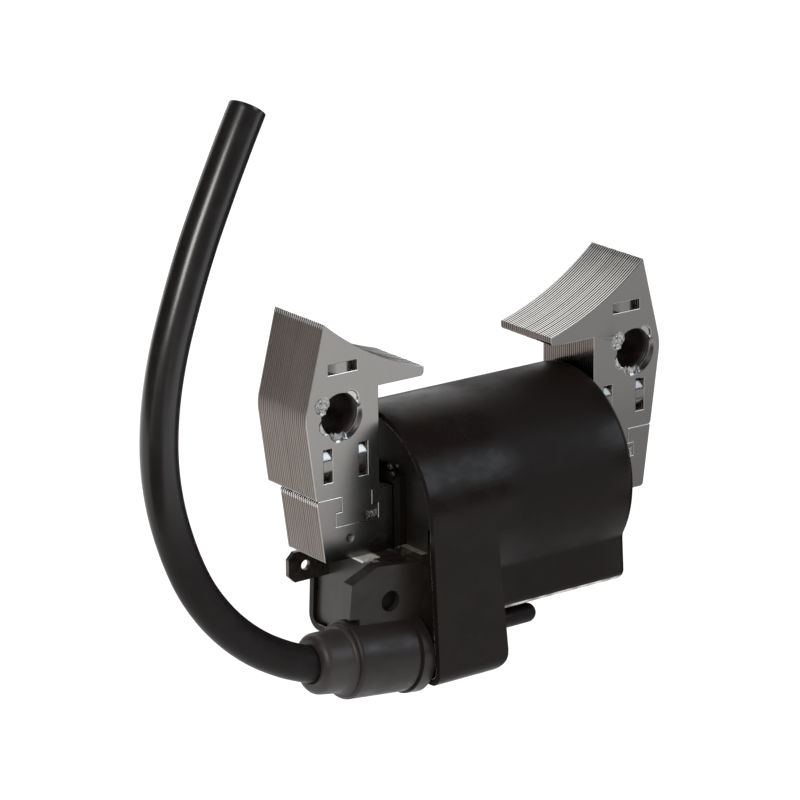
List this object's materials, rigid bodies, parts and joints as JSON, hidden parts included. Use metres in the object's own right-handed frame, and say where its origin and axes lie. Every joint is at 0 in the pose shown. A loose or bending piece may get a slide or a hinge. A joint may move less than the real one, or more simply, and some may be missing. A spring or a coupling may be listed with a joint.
{
  "type": "ignition coil",
  "caption": "Small engine ignition coil: laminated U core with curved pole shoes, round black case, spade terminal and stiff high tension lead.",
  "frame": {"origin": "midway between the two mounting holes, at half the depth of the leg stack", "axes": "+X along the core bar away from the lead end, +Y through the sheet stack away from the lead holder, +Z towards the flywheel"},
  "size_m": [0.0956, 0.0337, 0.091],
  "materials": {
    "core_steel": "satin sheared silicon steel with fine edge lines",
    "case_plastic": "glossy black thermoset",
    "potting_resin": "satin dark grey-green epoxy",
    "bobbin_plastic": "satin black moulded plastic",
    "winding_copper": "enamelled copper wire",
    "insulating_film": "translucent amber film",
    "board_laminate": "green solder mask",
    "chip_plastic": "matt black mould compound",
    "capacitor_ceramic": "tan ceramic",
    "tinned_metal": "dull tin plate",
    "spike_brass": "plain brass",
    "holder_plastic": "satin black moulded plastic",
    "boot_rubber": "satin black rubber",
    "jacket_rubber": "satin black extruded jacket",
    "insulation_rubber": "off-white insulation"
  },
  "bodies": {
    "root": {"left_leg_laminations": "core_steel", "right_leg_laminations": "core_steel", "core_bar_laminations": "core_steel", "coil_case": "case_plastic", "potting_compound": "potting_resin", "primary_bobbin": "bobbin_plastic", "primary_winding": "winding_copper", "insulating_sleeve": "insulating_film", "secondary_bobbin": "bobbin_plastic", "secondary_winding": "winding_copper", "primary_lead_wires": "winding_copper", "high_tension_link": "winding_copper", "circuit_board": "board_laminate", "power_transistor": "chip_plastic", "control_chip": "chip_plastic", "chip_resistors": "chip_plastic", "chip_capacitors": "capacitor_ceramic", "protection_diode": "chip_plastic", "kill_terminal": "tinned_metal", "ground_strap": "tinned_metal", "contact_spike": "spike_brass", "lead_holder": "holder_plastic", "lead_boot": "boot_rubber", "lead_jacket": "jacket_rubber", "lead_insulation": "insulation_rubber", "lead_conductor": "winding_copper"}
  },
  "joints": []
}
